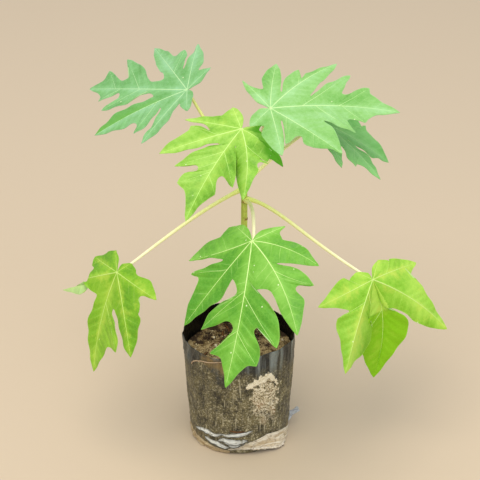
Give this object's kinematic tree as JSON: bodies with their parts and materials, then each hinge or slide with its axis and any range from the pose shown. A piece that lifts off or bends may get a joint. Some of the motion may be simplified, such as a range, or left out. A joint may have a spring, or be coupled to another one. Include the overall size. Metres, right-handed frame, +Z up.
{
  "type": "papaya seedling in grow bag",
  "caption": "Young papaya plant with a single slim stem and deeply lobed palmate leaves on long stalks, growing in a soil-filled round black film nursery bag.",
  "frame": {"origin": "middle of the bag's flat underside", "axes": "+Z up along the bag's axis; -Y towards the side that the picture was taken from; +X to that view's right"},
  "size_m": [0.3765, 0.3503, 0.3808],
  "materials": {
    "film": "satin",
    "soil": "matte",
    "stem": "matte",
    "stalk": "satin",
    "leaf": "matte"
  },
  "bodies": {
    "root": {"grow_bag": "film", "soil": "soil", "stem": "stem", "petiole_front": "stalk", "petiole_upper_left": "stalk", "petiole_upper_right": "stalk", "petiole_centre": "stalk", "petiole_right_behind": "stalk", "petiole_lower_left": "stalk", "petiole_lower_right": "stalk", "leaf_front": "leaf", "leaf_upper_left": "leaf", "leaf_upper_right": "leaf", "leaf_centre": "leaf", "leaf_right_behind": "leaf", "leaf_lower_left": "leaf", "leaf_lower_right": "leaf"}
  },
  "joints": []
}
